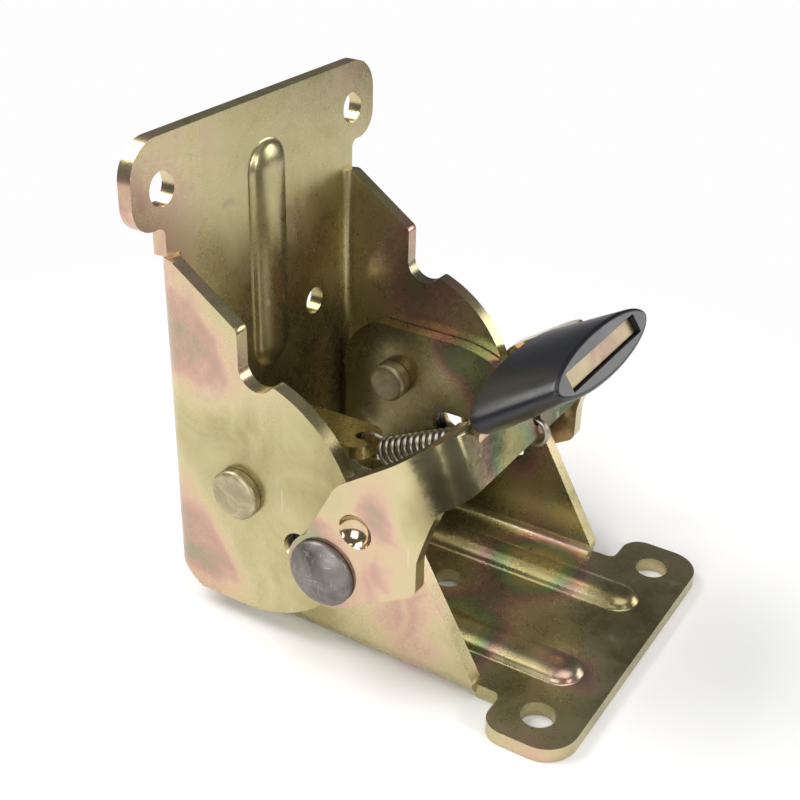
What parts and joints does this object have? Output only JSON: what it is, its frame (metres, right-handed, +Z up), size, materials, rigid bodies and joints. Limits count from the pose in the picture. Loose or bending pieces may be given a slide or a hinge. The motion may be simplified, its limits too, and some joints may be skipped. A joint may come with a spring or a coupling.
{
  "type": "folding table leg hinge",
  "caption": "Self-locking folding hinge in yellow zinc plated sheet steel, with a spring-loaded release lever that has a black grip.",
  "frame": {"origin": "on the table bracket's mounting face, in the middle of its width, straight below the pivot axis", "axes": "+X across the hinge along the pivot axis, +Y from the pivot towards the front of the table bracket, +Z up out of the mounting face"},
  "size_m": [0.0644, 0.076, 0.0822],
  "materials": {
    "yellow_zinc": "yellow chromated zinc plate, iridescent, semi-gloss",
    "rivet_steel": "worn zinc plate on upset steel",
    "spring_steel": "drawn and coiled wire",
    "grip_plastic": "soft black plastic, satin"
  },
  "bodies": {
    "table_side": {"table_bracket": "yellow_zinc", "pivot_rivet_near": "rivet_steel", "pivot_rivet_far": "rivet_steel"},
    "leg_side": {"leg_bracket": "yellow_zinc"},
    "lock": {"lock_rivet_near": "rivet_steel", "lock_rivet_far": "rivet_steel"},
    "release": {"lever": "yellow_zinc", "grip_sleeve": "grip_plastic", "spring": "spring_steel"}
  },
  "joints": [
    {"name": "fold", "type": "hinge", "parent": "table_side", "child": "leg_side", "pos_m": [0, 0, 0.0257], "axis": [-1, 0, 0], "range_deg": [0, 95], "deforming": ["spring"]},
    {"name": "lever_pull", "type": "slide", "parent": "table_side", "child": "lock", "axis": [0, 1, 0], "range_m": [0, 0.0065], "stiffness_N_per_m": 600, "springref_m": -0.008, "deforming": ["spring"]},
    {"name": "lever_swing", "type": "hinge", "parent": "lock", "child": "release", "pos_m": [0, 0.0182, 0.019], "axis": [-1, 0, 0], "range_deg": [0, 58], "deforming": ["spring"]}
  ],
  "couplings": [
    {"joint": "lever_swing", "follows": "fold", "ratio": 0.6}
  ]
}
